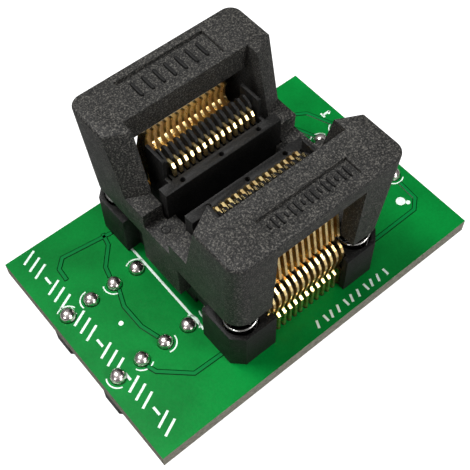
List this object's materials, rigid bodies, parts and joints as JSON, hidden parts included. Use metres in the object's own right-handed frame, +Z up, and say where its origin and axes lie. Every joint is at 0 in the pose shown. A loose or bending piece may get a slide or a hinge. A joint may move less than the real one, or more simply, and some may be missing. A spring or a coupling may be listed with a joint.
{
  "type": "chip programming socket adapter",
  "caption": "Open-top spring-loaded test socket on a plug-in circuit board: pressing the cover swings the contact arms out to free a chip.",
  "frame": {"origin": "middle of the footprint, at the tips of the header pins", "axes": "+X along the board's long side and the contact rows, +Y from the front wing to the back wing, +Z up, the way the chip leaves"},
  "size_m": [0.036, 0.024, 0.0245],
  "materials": {
    "board": "glass-fibre laminate under glossy green solder mask",
    "header_plastic": "moulded",
    "pin_metal": "turned and gold plated",
    "solder": "bright solder",
    "contact_metal": "stamped and gold plated",
    "base_plastic": "moulded, fine speckle",
    "cover_plastic": "moulded, fine light speckle",
    "spring_wire": "drawn spring wire"
  },
  "bodies": {
    "adapter": {"circuit_board": "board", "header_strip_front": "header_plastic", "header_pins_front": "pin_metal", "header_joints_front": "solder", "contact_tails_front": "contact_metal", "tail_joints_front": "solder", "header_strip_back": "header_plastic", "header_pins_back": "pin_metal", "header_joints_back": "solder", "contact_tails_back": "contact_metal", "tail_joints_back": "solder", "socket_base": "base_plastic", "spring_front_left": "spring_wire", "spring_front_right": "spring_wire", "spring_back_left": "spring_wire", "spring_back_right": "spring_wire"},
    "cover": {"socket_cover": "cover_plastic"},
    "front_contacts": {"contact_arm_front_01": "contact_metal", "contact_arm_front_02": "contact_metal", "contact_arm_front_03": "contact_metal", "contact_arm_front_04": "contact_metal", "contact_arm_front_05": "contact_metal", "contact_arm_front_06": "contact_metal", "contact_arm_front_07": "contact_metal", "contact_arm_front_08": "contact_metal", "contact_arm_front_09": "contact_metal", "contact_arm_front_10": "contact_metal", "contact_arm_front_11": "contact_metal", "contact_arm_front_12": "contact_metal", "contact_arm_front_13": "contact_metal", "contact_arm_front_14": "contact_metal"},
    "back_contacts": {"contact_arm_back_01": "contact_metal", "contact_arm_back_02": "contact_metal", "contact_arm_back_03": "contact_metal", "contact_arm_back_04": "contact_metal", "contact_arm_back_05": "contact_metal", "contact_arm_back_06": "contact_metal", "contact_arm_back_07": "contact_metal", "contact_arm_back_08": "contact_metal", "contact_arm_back_09": "contact_metal", "contact_arm_back_10": "contact_metal", "contact_arm_back_11": "contact_metal", "contact_arm_back_12": "contact_metal", "contact_arm_back_13": "contact_metal", "contact_arm_back_14": "contact_metal"}
  },
  "joints": [
    {"name": "cover_press", "type": "slide", "parent": "adapter", "child": "cover", "axis": [0, 0, -1], "range_m": [0, 0.002], "stiffness_N_per_m": 4000, "springref_m": -0.001, "deforming": ["spring_front_left", "spring_front_right", "spring_back_left", "spring_back_right"]},
    {"name": "front_contacts_swing", "type": "hinge", "parent": "adapter", "child": "front_contacts", "pos_m": [0, -0.00615, 0.01385], "axis": [1, 0, 0], "range_deg": [0, 12.2]},
    {"name": "back_contacts_swing", "type": "hinge", "parent": "adapter", "child": "back_contacts", "pos_m": [0, 0.00665, 0.01385], "axis": [-1, 0, 0], "range_deg": [0, 12.2]}
  ],
  "couplings": [
    {"joint": "front_contacts_swing", "follows": "cover_press", "rad_per_m": 104.72},
    {"joint": "back_contacts_swing", "follows": "cover_press", "rad_per_m": 104.72}
  ]
}
